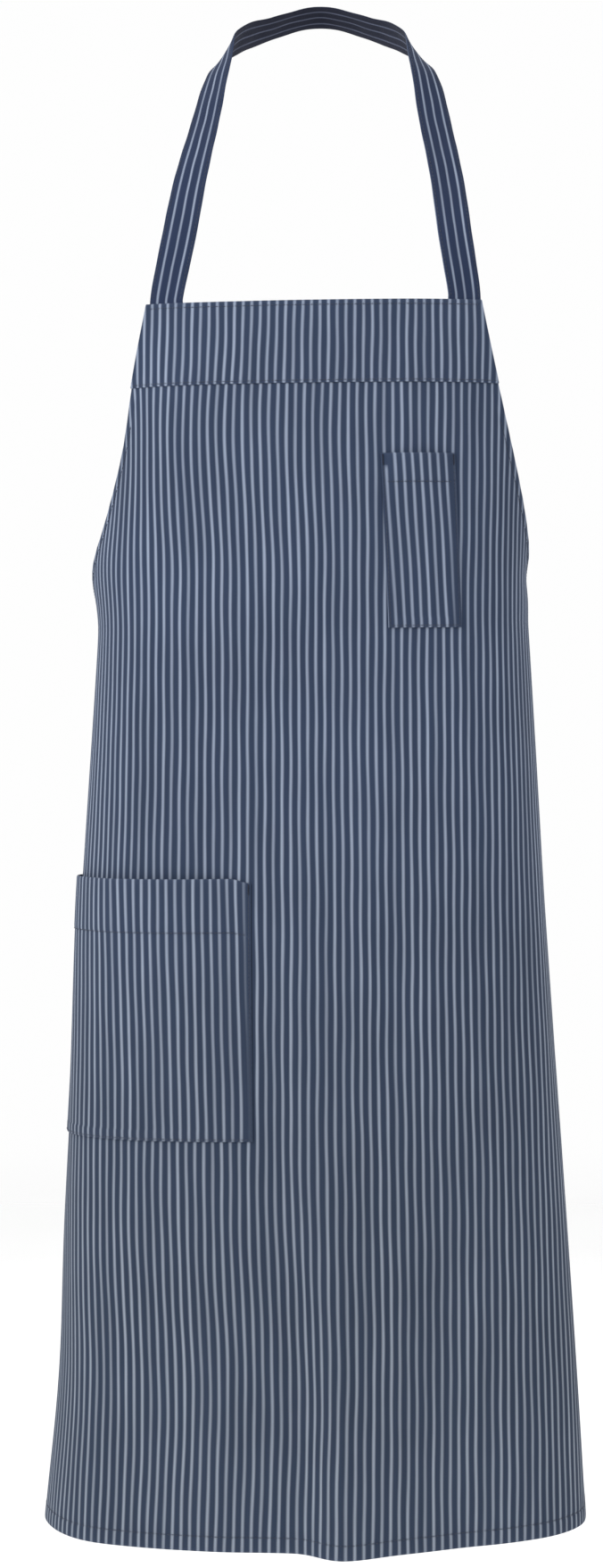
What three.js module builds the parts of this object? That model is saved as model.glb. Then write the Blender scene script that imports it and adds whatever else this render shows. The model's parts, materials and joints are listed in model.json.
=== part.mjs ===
// Full-length bib apron in striped cloth, in the shape it takes when worn.
// Millimetres, +Z up. The front faces -Y and the wearer's left is +X. The origin is the
// middle of the neck strap's inner face, where the strap rests on the back of the neck.
import * as THREE from 'three';

// ---- Driving dimensions ----
const PANEL_LENGTH = 1000; // bib top edge to bottom edge, down the centre
const PANEL_HALF_WIDTH = 320; // centre to side edge, along the cloth
const BIB_HALF_WIDTH = 137;
const ARMHOLE_DEPTH = 285; // bib top edge down to the tie corner
const HEM_RISE = 12; // how far the bottom edge rises towards the sides
const CLOTH = 0.8; // one layer of cloth
const PLY_GAP = 0.5; // clearance between two layers that are sewn together

const BAND_DEPTH = 68; // the facing across the top of the bib
const BOTTOM_HEM = 14;
const SIDE_HEM = 12;
const ARMHOLE_HEM = 8;

const STRAP_WIDTH = 28; // neck strap and ties are the same folded strip
const STRAP_THICKNESS = 1.6;
const STRAP_DROP = 254; // back of the neck down to the bib top edge
const STRAP_END = 40; // length sewn behind the bib
const TIE_LENGTH = 680; // free length, from its pivot
const TIE_END = 34; // length sewn behind the side hem
const HINGE_GAP = 1; // clearance on each side of a fold that moves
const STRAP_FOOT = 4; // the strap's free part starts this far above the bib

const BIB_POCKET = { name: 'bib_pocket', left: 54, width: 60, top: 124, height: 140,
  drift: 5, mouth: 24, bulge: 11, edge: 3, columns: 6, rows: 10 };
const HIP_POCKET = { name: 'hip_pocket', left: -255, width: 205, top: 462, height: 210,
  drift: 0, mouth: 44, bulge: 14, edge: 3, columns: 18, rows: 12 };

const THREAD_WIDTH = 0.8;
const THREAD_HEIGHT = 0.4;
const THREAD_GAP = 0.4;
const TACK_LENGTH = 9;
const TACK_WIDTH = 2.2;

// ---- The shape of the wearer under the cloth ----
const NECK_BACK = 197; // front of the waist back to the origin
const BIB_LEAN = 38; // how far the bib's top edge lies behind the front of the waist
const CHEST_HEIGHT = 260; // the bib's slope and curve fade out over this depth
const FRONT_CURVE = 0.08; // degrees of turn for each millimetre from the centre
const WAIST_TURN = 95; // further turn round the sides, in degrees
const BIB_TURN = 50;
const HEM_TURN = 80;
const SIDE_FROM = 60; // the side turn lies between these distances from the centre
const SIDE_TO = 310;
const HEM_SIDE_FROM = 130;
const HEM_SIDE_TO = 320;
const SECTION_STEPS = 32;

const { lerp, smoothstep, degToRad } = THREE.MathUtils;

const NAVY = 0x35435c;
const STRIPED = 0x5d6b86;
const STRAP_NAVY = 0x28344f;
const THREAD_NAVY = 0x1d2438;

// How the cloth lies at a depth below the bib's top edge.
function wornAt(below) {
  const chest = Math.max(0, 1 - below / CHEST_HEIGHT) ** 2;
  const skirt = Math.max(0, (below - CHEST_HEIGHT) / (PANEL_LENGTH - CHEST_HEIGHT));
  return {
    front: BIB_LEAN * chest,
    turn: lerp(WAIST_TURN, BIB_TURN, chest) + (HEM_TURN - WAIST_TURN) * skirt,
    from: lerp(SIDE_FROM, HEM_SIDE_FROM, skirt),
    to: lerp(SIDE_TO, HEM_SIDE_TO, skirt),
  };
}

function clothAngle(across, worn) {
  const side = worn.turn * smoothstep(Math.abs(across), worn.from, worn.to);
  return degToRad(FRONT_CURVE * across + Math.sign(across) * side);
}

// A point of the worn cloth: millimetres across from the centre line along the cloth,
// millimetres below the bib's top edge, and millimetres out from the cloth's outer face.
function onCloth(across, below, out = 0) {
  const worn = wornAt(below);
  const step = across / SECTION_STEPS;
  let x = 0;
  let y = worn.front - NECK_BACK;
  for (let k = 0; k < SECTION_STEPS; k += 1) {
    const angle = clothAngle((k + 0.5) * step, worn);
    x += Math.cos(angle) * step;
    y += Math.sin(angle) * step;
  }
  const angle = clothAngle(across, worn);
  const point = new THREE.Vector3(x, y, -STRAP_DROP - below);
  return point.addScaledVector(new THREE.Vector3(Math.sin(angle), -Math.cos(angle), 0), out);
}

// The armhole edge from the bib corner (0) to the tie corner (1), as [across, below].
const ARMHOLE = new THREE.CubicBezierCurve(
  new THREE.Vector2(BIB_HALF_WIDTH, 0),
  new THREE.Vector2(lerp(BIB_HALF_WIDTH, PANEL_HALF_WIDTH, 0.15), 0.46 * ARMHOLE_DEPTH),
  new THREE.Vector2(lerp(BIB_HALF_WIDTH, PANEL_HALF_WIDTH, 0.37), 0.82 * ARMHOLE_DEPTH),
  new THREE.Vector2(PANEL_HALF_WIDTH, ARMHOLE_DEPTH),
);

function armholeAt(below) {
  let low = 0;
  let high = 1;
  for (let k = 0; k < 30; k += 1) {
    const middle = (low + high) / 2;
    if (ARMHOLE.getPoint(middle).y < below) low = middle;
    else high = middle;
  }
  return ARMHOLE.getPoint(low).x;
}

function bottomAt(across) {
  return PANEL_LENGTH - HEM_RISE * (across / PANEL_HALF_WIDTH) ** 2;
}

// ---- Solids ----

// A closed thin solid over a grid of cells: place(i, j, outer) gives its two faces.
function layer(columns, rows, place) {
  const positions = [];
  const index = [];
  const wide = columns + 1;
  const side = wide * (rows + 1);
  for (const outer of [true, false]) {
    for (let j = 0; j <= rows; j += 1) {
      for (let i = 0; i <= columns; i += 1) positions.push(...place(i, j, outer).toArray());
    }
  }
  const quad = (a, b, c, d) => index.push(a, b, c, a, c, d);
  for (let j = 0; j < rows; j += 1) {
    for (let i = 0; i < columns; i += 1) {
      const a = j * wide + i;
      quad(a, a + 1, a + 1 + wide, a + wide);
      quad(side + a, side + a + wide, side + a + 1 + wide, side + a + 1);
    }
  }
  for (let i = 0; i < columns; i += 1) {
    const top = rows * wide + i;
    quad(i + 1, i, side + i, side + i + 1);
    quad(top, top + 1, side + top + 1, side + top);
  }
  for (let j = 0; j < rows; j += 1) {
    const left = j * wide;
    const right = left + columns;
    quad(left, left + wide, side + left + wide, side + left);
    quad(right + wide, right, side + right, side + right + wide);
  }
  const geometry = new THREE.BufferGeometry();
  geometry.setAttribute('position', new THREE.Float32BufferAttribute(positions, 3));
  geometry.setIndex(facingOut(positions, index));
  return geometry;
}

// The same triangles, turned over if they enclose a negative volume.
function facingOut(positions, index) {
  const corner = (k) => new THREE.Vector3().fromArray(positions, 3 * index[k]);
  let volume = 0;
  for (let k = 0; k < index.length; k += 3) {
    volume += corner(k).dot(corner(k + 1).cross(corner(k + 2)));
  }
  return volume < 0 ? index.reverse() : index;
}

const STRIP_CELL = 10; // widest facet of a strip that follows the curved cloth

// A strip that follows a path of [across, below] points on the cloth.
function strip(path, width, base, thickness) {
  const sides = path.map((point, k) => {
    const before = path[Math.max(0, k - 1)];
    const after = path[Math.min(path.length - 1, k + 1)];
    const along = new THREE.Vector2(after[0] - before[0], after[1] - before[1]).normalize();
    return [-along.y * width / 2, along.x * width / 2];
  });
  const outOf = typeof base === 'function' ? base : () => base;
  const cells = Math.ceil(width / STRIP_CELL);
  return layer(path.length - 1, cells, (i, j, outer) => {
    const sign = lerp(-1, 1, j / cells);
    const across = path[i][0] + sign * sides[i][0];
    const below = path[i][1] + sign * sides[i][1];
    return onCloth(across, below, outOf(across, below) + (outer ? thickness : 0));
  });
}

function mesh(name, geometry, color, roughness = 0.9) {
  const material = new THREE.MeshStandardMaterial({ color, roughness, metalness: 0 });
  const piece = new THREE.Mesh(geometry, material);
  piece.name = name;
  return piece;
}

// Evenly spaced values from first to last.
function spread(first, last, steps) {
  return Array.from({ length: steps + 1 }, (_, k) => lerp(first, last, k / steps));
}

const mirrored = (path) => path.map(([across, below]) => [-across, below]);
const SIDES = [['left', (path) => path], ['right', mirrored]];

const BAND_OUT = PLY_GAP + CLOTH;
const INNER_HEM = -CLOTH - PLY_GAP - CLOTH;
const INNER_STRAP = -CLOTH - PLY_GAP - STRAP_THICKNESS;

// ---- Panel, band and hems ----

function apronPanel() {
  const armColumns = 14;
  const topColumns = 21; // odd, so that one flat facet lies on the centre line
  const columns = 2 * armColumns + topColumns;
  const top = (i) => {
    const arm = Math.min(i, columns - i);
    if (arm >= armColumns) {
      return [lerp(-BIB_HALF_WIDTH, BIB_HALF_WIDTH, (i - armColumns) / topColumns), 0];
    }
    const edge = ARMHOLE.getPoint(1 - arm / armColumns);
    return [i < armColumns ? -edge.x : edge.x, edge.y];
  };
  const rows = [...spread(0, 0.3, 13), ...spread(0.3, 1, 12).slice(1)];
  return layer(columns, rows.length - 1, (i, j, outer) => {
    const bottom = lerp(-PANEL_HALF_WIDTH, PANEL_HALF_WIDTH, i / columns);
    const [across, below] = top(i);
    return onCloth(lerp(across, bottom, rows[j]), lerp(below, bottomAt(bottom), rows[j]),
      outer ? 0 : -CLOTH);
  });
}

function bibBand() {
  const columns = 26;
  const rows = 6;
  return layer(columns, rows, (i, j, outer) => {
    const below = BAND_DEPTH * j / rows;
    const edge = armholeAt(below);
    return onCloth(lerp(-edge, edge, i / columns), below, outer ? BAND_OUT : PLY_GAP);
  });
}

// The armhole edge moved inwards over the cloth, between two parts of its length.
function armholePath(inset, first, last, steps) {
  return spread(first, last, steps).map((part) => {
    const edge = ARMHOLE.getPoint(part);
    const along = ARMHOLE.getTangent(part);
    return [edge.x - along.y * inset, edge.y + along.x * inset];
  });
}

const ARM_FROM = 0.15; // the armhole hem starts below the strap end
const ARM_TO = 0.88; // and stops before the tie end

function bottomHem() {
  const acrossEnd = PANEL_HALF_WIDTH - PLY_GAP;
  const path = spread(-acrossEnd, acrossEnd, 48)
    .map((across) => [across, bottomAt(across) - BOTTOM_HEM / 2]);
  return strip(path, BOTTOM_HEM, INNER_HEM, CLOTH);
}

function sidePath(inset, steps) {
  const top = ARMHOLE_DEPTH + STRAP_WIDTH + 2 * HINGE_GAP;
  const bottom = bottomAt(PANEL_HALF_WIDTH) - BOTTOM_HEM - HINGE_GAP;
  return spread(top, bottom, steps).map((below) => [PANEL_HALF_WIDTH - inset, below]);
}

function hems() {
  const pieces = [mesh('bottom_hem', bottomHem(), NAVY)];
  for (const [side, turned] of SIDES) {
    const edge = turned(sidePath(SIDE_HEM / 2, 14));
    const arm = turned(armholePath(ARMHOLE_HEM / 2, ARM_FROM, ARM_TO, 18));
    pieces.push(mesh(`${side}_side_hem`, strip(edge, SIDE_HEM, INNER_HEM, CLOTH), NAVY));
    pieces.push(mesh(`${side}_armhole_hem`, strip(arm, ARMHOLE_HEM, INNER_HEM, CLOTH), NAVY));
  }
  return pieces;
}

function thread(name, path, base = THREAD_GAP) {
  return mesh(name, strip(path, THREAD_WIDTH, base, THREAD_HEIGHT), THREAD_NAVY, 0.7);
}

function panelThreads() {
  const stitchInset = 2; // a seam's distance in from the edge that it holds
  const bandEdge = armholeAt(BAND_DEPTH) - stitchInset;
  const hemEdge = PANEL_HALF_WIDTH - stitchInset;
  const onBand = BAND_OUT + THREAD_GAP;
  const pieces = [
    thread('bib_band_seam', spread(-bandEdge, bandEdge, 28)
      .map((across) => [across, BAND_DEPTH - stitchInset]), onBand),
    thread('bib_top_stitch', spread(-BIB_HALF_WIDTH + stitchInset, BIB_HALF_WIDTH - stitchInset, 26)
      .map((across) => [across, 2 * stitchInset]), onBand),
    thread('bottom_hem_stitch', spread(-hemEdge, hemEdge, 60)
      .map((across) => [across, bottomAt(across) - BOTTOM_HEM + stitchInset])),
  ];
  for (const [side, turned] of SIDES) {
    pieces.push(thread(`${side}_side_stitch`, turned(sidePath(SIDE_HEM - stitchInset, 14))));
    pieces.push(thread(`${side}_armhole_stitch`,
      turned(armholePath(ARMHOLE_HEM - stitchInset, 0.27, 0.97, 24))));
  }
  return pieces;
}

// ---- Pockets ----

// How far the pocket's inner face stands off the panel, from 0 in its sewn edges.
function pocketOut(pocket, across, below) {
  const { left, width, top, height, drift, edge, bulge } = pocket;
  const down = (below - top) / height;
  const over = (across - left - drift * down - edge) / (width - 2 * edge);
  const arch = over > 0 && over < 1 ? 4 * over * (1 - over) : 0;
  const open = Math.min(1, Math.max(0, 1 - (below - top) / (height - edge)));
  return PLY_GAP + bulge * arch * smoothstep(open, 0, 1);
}

function pocketPoint(pocket, over, below) {
  return pocket.left + over + pocket.drift * (below - pocket.top) / pocket.height;
}

function pocketPieces(pocket) {
  const { name, width, top, height, edge, mouth, columns, rows } = pocket;
  const overs = [0, ...spread(edge, width - edge, columns), width];
  const belows = [...spread(top, top + height - edge, rows), top + height];
  const cloth = layer(overs.length - 1, belows.length - 1, (i, j, outer) => {
    const across = pocketPoint(pocket, overs[i], belows[j]);
    return onCloth(across, belows[j], pocketOut(pocket, across, belows[j]) + (outer ? CLOTH : 0));
  });

  const hemInset = 4 * edge;
  const hemOvers = spread(hemInset, width - hemInset, columns);
  const hem = layer(columns, 2, (i, j, outer) => {
    const below = lerp(top, top + mouth, j / 2);
    const across = pocketPoint(pocket, hemOvers[i], below);
    const out = pocketOut(pocket, across, below) - PLY_GAP;
    return onCloth(across, below, out - (outer ? 0 : CLOTH));
  });

  const seamInset = edge / 2;
  const bottom = top + height - seamInset;
  const down = spread(top + seamInset, bottom, rows).map((below) => [seamInset, below]);
  const along = spread(seamInset, width - seamInset, columns + 2).map((over) => [over, bottom]);
  const up = down.map(([over, below]) => [width - over, below]).reverse();
  const seam = [...down, ...along.slice(1, -1), ...up]
    .map(([over, below]) => [pocketPoint(pocket, over, below), below]);
  const onPocket = (across, below) => pocketOut(pocket, across, below) + CLOTH + THREAD_GAP;
  const hemLine = overs.slice(1, -1)
    .map((over) => [pocketPoint(pocket, over, top + mouth), top + mouth]);

  return [
    mesh(name, cloth, STRIPED),
    mesh(`${name}_hem`, hem, NAVY),
    thread(`${name}_seam`, seam, PLY_GAP + CLOTH + THREAD_GAP),
    thread(`${name}_hem_stitch`, hemLine, onPocket),
    ...pocketTacks(pocket),
  ];
}

// Dense bar tacks across the two top corners of a pocket.
function pocketTacks(pocket) {
  const { name, width, top, edge } = pocket;
  const base = PLY_GAP + CLOTH + 2 * THREAD_GAP + THREAD_HEIGHT;
  const below = top + edge;
  return [['right', edge / 2], ['left', width - edge / 2]].map(([side, over]) => {
    const across = pocketPoint(pocket, over, below);
    const path = [[across, below], [across, below + TACK_LENGTH]];
    const tack = strip(path, TACK_WIDTH, base, THREAD_HEIGHT);
    return mesh(`${name}_${side}_tack`, tack, THREAD_NAVY, 0.7);
  });
}

// ---- Neck strap ----

const STRAP_ACROSS = BIB_HALF_WIDTH - STRAP_WIDTH / 2; // flush with the bib's corner
const STRAP_CENTRE_OUT = INNER_STRAP + STRAP_THICKNESS / 2;

// The strap's centre line on the wearer's left, from above the bib over the shoulder to the
// back of the neck. The other side mirrors it, and the whole loop sways a little to the left.
const SHOULDER = [[112.5, -149, -200], [105, -131, -153], [95.5, -109, -106], [85, -84, -56],
  [72.5, -54, -31], [46, -19, -11]];
const NECK_SWAY = 6;
const STRAP_TURN = 1.4; // how late along its length the strap turns flat onto the shoulder
const COLLAR_SLOPE = 29; // degrees that the strap's inner edge is raised behind the neck

function strapCurve() {
  const foot = onCloth(STRAP_ACROSS, -STRAP_FOOT, STRAP_CENTRE_OUT);
  const left = [foot, ...SHOULDER.map((point) => new THREE.Vector3(...point))];
  const right = left.map((point) => new THREE.Vector3(-point.x, point.y, point.z)).reverse();
  return new THREE.CatmullRomCurve3([...left, new THREE.Vector3(0, 0, 0), ...right]);
}

const STRAP_STEPS = 61; // odd, so that one flat facet lies across the back of the neck
const COLLAR = new THREE.Vector3(0, -Math.cos(degToRad(COLLAR_SLOPE)),
  Math.sin(degToRad(COLLAR_SLOPE)));

// The strap's centre, its direction towards the collar and its outward face, along its length.
const STRAP_FRAMES = (() => {
  const curve = strapCurve();
  const frames = spread(0, 1, STRAP_STEPS).map((part) => {
    const centre = curve.getPointAt(part);
    const along = curve.getTangentAt(part);
    const height = 1 - Math.abs(2 * part - 1); // 0 at the bib, 1 behind the neck
    const turn = Math.PI / 2 * height ** STRAP_TURN;
    const inward = new THREE.Vector3(part < 0.5 ? -1 : 1, 0, 0).multiplyScalar(Math.cos(turn));
    inward.addScaledVector(COLLAR, Math.sin(turn));
    inward.addScaledVector(along, -inward.dot(along)).normalize();
    centre.x += NECK_SWAY * Math.sin(Math.PI / 2 * height);
    return { centre, inward, face: new THREE.Vector3().crossVectors(inward, along) };
  });
  const middle = frames[(STRAP_STEPS - 1) / 2];
  const innerFace = middle.centre.clone().addScaledVector(middle.face, -STRAP_THICKNESS / 2);
  const shift = new THREE.Vector3(0, -innerFace.y, -innerFace.z);
  const top = frames.length - 1;
  frames.forEach((frame, k) => {
    frame.centre.addScaledVector(shift, Math.sin(Math.PI * k / top) ** 2); // meets the origin
  });
  return frames;
})();

// A strip along the strap, through places across its width, low to high off its middle.
function alongStrap(places, low, high) {
  return layer(STRAP_STEPS, places.length - 1, (i, j, outer) => {
    const { centre, inward, face } = STRAP_FRAMES[i];
    return centre.clone().addScaledVector(inward, places[j])
      .addScaledVector(face, outer ? high : low);
  });
}

function neckStrap() {
  const half = STRAP_WIDTH / 2;
  const inner = [half - 2 - THREAD_WIDTH, half - 2];
  const outer = inner.map((place) => -place).reverse();
  const low = STRAP_THICKNESS / 2 + THREAD_GAP;
  const high = low + THREAD_HEIGHT;
  const cloth = alongStrap([-half, ...outer, ...inner, half], -STRAP_THICKNESS / 2,
    STRAP_THICKNESS / 2);
  return [
    mesh('neck_strap', cloth, STRAP_NAVY),
    mesh('neck_strap_inner_seam', alongStrap(inner, low, high), THREAD_NAVY, 0.7),
    mesh('neck_strap_outer_seam', alongStrap(outer, low, high), THREAD_NAVY, 0.7),
  ];
}

// A square of stitching that starts and stops a stitch apart.
function boxPath(left, right, top, bottom) {
  return [[left, top], [right, top], [right, bottom], [left, bottom], [left, top + 2]];
}

function strapEnds() {
  const inset = 3;
  const half = STRAP_WIDTH / 2;
  const pieces = [];
  for (const [side, turned] of SIDES) {
    const path = turned(spread(HINGE_GAP, STRAP_END, 4).map((below) => [STRAP_ACROSS, below]));
    const box = turned(boxPath(STRAP_ACROSS - half + inset, STRAP_ACROSS + half - inset,
      STRAP_END / 2, STRAP_END - inset));
    const under = INNER_STRAP - THREAD_GAP - THREAD_HEIGHT;
    pieces.push(mesh(`${side}_strap_end`, strip(path, STRAP_WIDTH, INNER_STRAP, STRAP_THICKNESS),
      STRAP_NAVY));
    pieces.push(thread(`${side}_strap_box_stitch`, box, under));
  }
  return pieces;
}

// ---- Ties ----

const TIE_BELOW = ARMHOLE_DEPTH + STRAP_WIDTH / 2;

// The wearer's left tie hangs from its pivot just behind the side edge, in the cloth's own plane.
function tieFrame() {
  const edge = onCloth(PANEL_HALF_WIDTH, TIE_BELOW, STRAP_CENTRE_OUT);
  const angle = clothAngle(PANEL_HALF_WIDTH, wornAt(TIE_BELOW));
  const back = new THREE.Vector3(Math.cos(angle), Math.sin(angle), 0);
  const face = new THREE.Vector3(Math.sin(angle), -Math.cos(angle), 0);
  const pivot = edge.addScaledVector(back, HINGE_GAP + STRAP_WIDTH / 2);
  return { pivot, back, face };
}

function tiePart(from, to, low, high, mirror) {
  const { pivot, back, face } = tieFrame();
  const drops = 12;
  return layer(1, drops, (i, j, outer) => {
    const point = pivot.clone().addScaledVector(back, i === 0 ? from : to)
      .addScaledVector(face, outer ? high : low);
    point.z -= TIE_LENGTH * j / drops;
    point.x *= mirror;
    return point;
  });
}

function ties() {
  const half = STRAP_WIDTH / 2;
  const seam = half - 2;
  const low = STRAP_THICKNESS / 2 + THREAD_GAP;
  const pieces = [];
  for (const [side, turned] of SIDES) {
    const mirror = side === 'left' ? 1 : -1;
    const path = turned(spread(PANEL_HALF_WIDTH - TIE_END, PANEL_HALF_WIDTH, 4)
      .map((across) => [across, TIE_BELOW]));
    const box = turned(boxPath(PANEL_HALF_WIDTH - TIE_END + 3, PANEL_HALF_WIDTH - 12,
      ARMHOLE_DEPTH + 3, ARMHOLE_DEPTH + STRAP_WIDTH - 3));
    const under = INNER_STRAP - THREAD_GAP - THREAD_HEIGHT;
    pieces.push(mesh(`${side}_tie`, tiePart(-half, half, -STRAP_THICKNESS / 2,
      STRAP_THICKNESS / 2, mirror), STRAP_NAVY));
    pieces.push(mesh(`${side}_tie_seam`, tiePart(seam, seam + THREAD_WIDTH, low,
      low + THREAD_HEIGHT, mirror), THREAD_NAVY, 0.7));
    pieces.push(mesh(`${side}_tie_end`, strip(path, STRAP_WIDTH, INNER_STRAP, STRAP_THICKNESS),
      STRAP_NAVY));
    pieces.push(thread(`${side}_tie_box_stitch`, box, under));
  }
  return pieces;
}

const apron = new THREE.Group();
apron.add(
  ...neckStrap(),
  mesh('apron_panel', apronPanel(), STRIPED),
  mesh('bib_band', bibBand(), STRIPED),
  ...hems(),
  ...panelThreads(),
  ...pocketPieces(BIB_POCKET),
  ...pocketPieces(HIP_POCKET),
  ...strapEnds(),
  ...ties(),
);

export default apron;
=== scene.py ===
"""A worn full-length bib apron in striped cloth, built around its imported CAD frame. Metres."""

import json
import math

import bpy
import numpy as np
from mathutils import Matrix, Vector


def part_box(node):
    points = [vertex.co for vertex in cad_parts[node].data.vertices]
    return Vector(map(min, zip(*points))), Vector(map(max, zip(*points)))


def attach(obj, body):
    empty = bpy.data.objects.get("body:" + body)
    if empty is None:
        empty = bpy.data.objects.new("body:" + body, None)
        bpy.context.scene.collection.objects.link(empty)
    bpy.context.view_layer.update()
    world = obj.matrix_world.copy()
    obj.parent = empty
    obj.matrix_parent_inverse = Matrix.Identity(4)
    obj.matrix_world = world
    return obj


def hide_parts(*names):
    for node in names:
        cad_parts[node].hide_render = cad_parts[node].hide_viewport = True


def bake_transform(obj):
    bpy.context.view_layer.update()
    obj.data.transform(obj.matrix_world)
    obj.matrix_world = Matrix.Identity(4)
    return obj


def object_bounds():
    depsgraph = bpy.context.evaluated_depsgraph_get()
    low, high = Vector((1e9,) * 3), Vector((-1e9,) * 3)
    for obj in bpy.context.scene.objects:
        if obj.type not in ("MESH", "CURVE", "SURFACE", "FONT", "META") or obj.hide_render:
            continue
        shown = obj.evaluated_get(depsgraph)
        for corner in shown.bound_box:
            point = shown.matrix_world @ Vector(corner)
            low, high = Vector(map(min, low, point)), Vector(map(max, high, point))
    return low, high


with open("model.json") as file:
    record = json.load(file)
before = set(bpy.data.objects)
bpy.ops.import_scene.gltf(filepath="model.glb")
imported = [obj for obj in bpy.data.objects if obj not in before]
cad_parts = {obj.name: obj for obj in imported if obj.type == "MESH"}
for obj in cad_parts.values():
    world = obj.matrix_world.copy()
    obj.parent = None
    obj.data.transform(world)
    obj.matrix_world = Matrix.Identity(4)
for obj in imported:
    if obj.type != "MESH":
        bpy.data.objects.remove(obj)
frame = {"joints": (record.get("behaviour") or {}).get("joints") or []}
CAD_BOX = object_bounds()

MM = 0.001

# ---- The cloth's own measures, as the CAD model has them ----
PANEL_LOW, PANEL_HIGH = (np.array(c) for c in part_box("apron_panel"))
BIB_TOP = PANEL_HIGH[2]
FRONT = PANEL_LOW[1]
PANEL_LENGTH = PANEL_HIGH[2] - PANEL_LOW[2]
PANEL_HALF_WIDTH = 320 * MM
BIB_HALF_WIDTH = 137 * MM
ARMHOLE_DEPTH = 285 * MM
HEM_RISE = 12 * MM
HEM_DROP = 1 * MM  # how far the cloth has stretched at the hem
HEM_LIFT = 2.5 * MM  # how much more the hem rises towards its left corner
HEM_DIP = 2 * MM  # and how much further at the crest of the fold
BAND_DEPTH = 68 * MM
BOTTOM_HEM = 14 * MM
SIDE_HEM = 12 * MM
ARMHOLE_HEM = 8 * MM
STITCH_INSET = 2 * MM
CLOTH = 0.8 * MM
STRAP_WIDTH = 28 * MM
STRAP_THICKNESS = 1.6 * MM
STRAP_END = 40 * MM  # how much of the neck strap is sewn behind the bib, at each end
TIE_END = 34 * MM  # how much of each tie is sewn behind the panel
TIE_LENGTH = 680 * MM

BIB_LEAN = 38 * MM
CHEST_HEIGHT = 260 * MM
FRONT_CURVE = 80.0  # degrees of turn for each metre from the centre
WAIST_TURN, BIB_TURN, HEM_TURN = 95.0, 50.0, 80.0
SIDE_FROM, SIDE_TO = 60 * MM, 310 * MM
HEM_SIDE_FROM, HEM_SIDE_TO = 130 * MM, 320 * MM
SECTION_STEPS = 72
DRAPE_LEVELS = 160

SKIRT_FLARE = 4 * MM  # how much further the skirt's left side hangs out at the hem
SKIRT_TUCK = 5 * MM  # how far its right side leans in above the hem
STRIPE_PITCH = 6.9 * MM


# ---- The worn surface ----
def smooth(t):
    t = np.clip(t, 0.0, 1.0)
    return t * t * (3 - 2 * t)


def lerp(a, b, t):
    return a + (b - a) * t


def bell(x, centre, width):
    return np.exp(-(((x - centre) / width) ** 2))


def unit(vectors):
    return vectors / np.linalg.norm(vectors, axis=-1, keepdims=True)


def travelled(path):
    """Distance along a path at each of its points."""
    return np.concatenate([[0], np.cumsum(np.linalg.norm(np.diff(path, axis=0), axis=1))])


def resampled(places, run, path):
    return np.stack([np.interp(places, run, column) for column in path.T], -1)


def worn(below):
    """How the cloth lies at a depth below the bib's top edge, as in the CAD model."""
    chest = np.clip(1 - below / CHEST_HEIGHT, 0, None) ** 2
    skirt = np.clip((below - CHEST_HEIGHT) / (PANEL_LENGTH - CHEST_HEIGHT), 0, None)
    turn = lerp(WAIST_TURN, BIB_TURN, chest) + (HEM_TURN - WAIST_TURN) * skirt
    return BIB_LEAN * chest, turn, lerp(SIDE_FROM, HEM_SIDE_FROM, skirt), lerp(SIDE_TO, HEM_SIDE_TO, skirt)


FOLD_HEIGHT = 0.62  # the soft fold down the front of the skirt fades out this far above the hem
FOLD_ANGLE = 42.0  # steepest slope of its left flank at the hem, in degrees
FOLD_LEFT, FOLD_RIGHT = 46 * MM, 112 * MM  # widths of its steep left and gentle right flank
FOLD_SETBACK = 4 * MM  # how far the skirt beside the fold lies back at the hem


def fold_strength(below):
    """How much of the skirt's soft fold there is, from 0 at its top to 1 at the hem."""
    return np.clip(1 - (np.clip(PANEL_LENGTH - below, 0, None) / FOLD_HEIGHT) ** 1.1, 0, 1)


def fold_angle(across, below):
    """Extra turn of the cloth over the soft fold in the skirt, in degrees."""
    height = PANEL_LENGTH - below
    strength = fold_strength(below)
    crest = 21.5 * MM - 0.19 * height**2
    u = across - crest
    left = np.where((u > -FOLD_LEFT) & (u < 0), -np.sin(np.pi * (u + FOLD_LEFT) / FOLD_LEFT), 0)
    right = np.where((u >= 0) & (u < FOLD_RIGHT), np.sin(np.pi * u / FOLD_RIGHT), 0)
    return FOLD_ANGLE * strength * (left + right * FOLD_LEFT / FOLD_RIGHT)


def ripple_angle(across, below):
    """Small soft ripples that run down the skirt and the chest, in degrees."""
    low = smooth((below - 0.10) / 0.5)
    a = 2.2 * np.sin(across * 63 + 2.1 * np.sin(below * 5.1 + 0.4) + 0.8)
    b = 1.7 * np.sin(across * 118 + 2.7 * np.sin(below * 7.3 + 2.0) + 1.9)
    c = 3.0 * smooth((np.abs(across) - 0.12) / 0.12) * np.sin(across * 88 + 1.6 * np.sin(below * 4.2))
    return (0.35 + 0.65 * low) * (a + b) + low * c


def arm_turn(across, below):
    """Extra turn, in degrees, of the bib's edges.

    The right edge lies further back over the chest and stands out again above its tie. The left
    edge has a small nick there.
    """
    right = smooth((-across - 0.07) / 0.07)
    chest = 14.0 * bell(below, 0.103, 0.062)
    flank = 4.0 * bell(below, 0.212, 0.030)
    nick = 3.5 * smooth((across - 0.16) / 0.05) * bell(below, 0.222, 0.014)
    return (flank - chest) * right + nick


def angle_at(across, below, draped=True):
    """The direction of the cloth's level section, in radians from straight across."""
    turn, start, end = worn(below)[1:]
    share = smooth((np.abs(across) - start) / (end - start))
    degrees = FRONT_CURVE * across + np.sign(across) * turn * share
    if draped:
        degrees = degrees + fold_angle(across, below) + ripple_angle(across, below)
        degrees = degrees + arm_turn(across, below)
    return np.radians(degrees)


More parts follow.
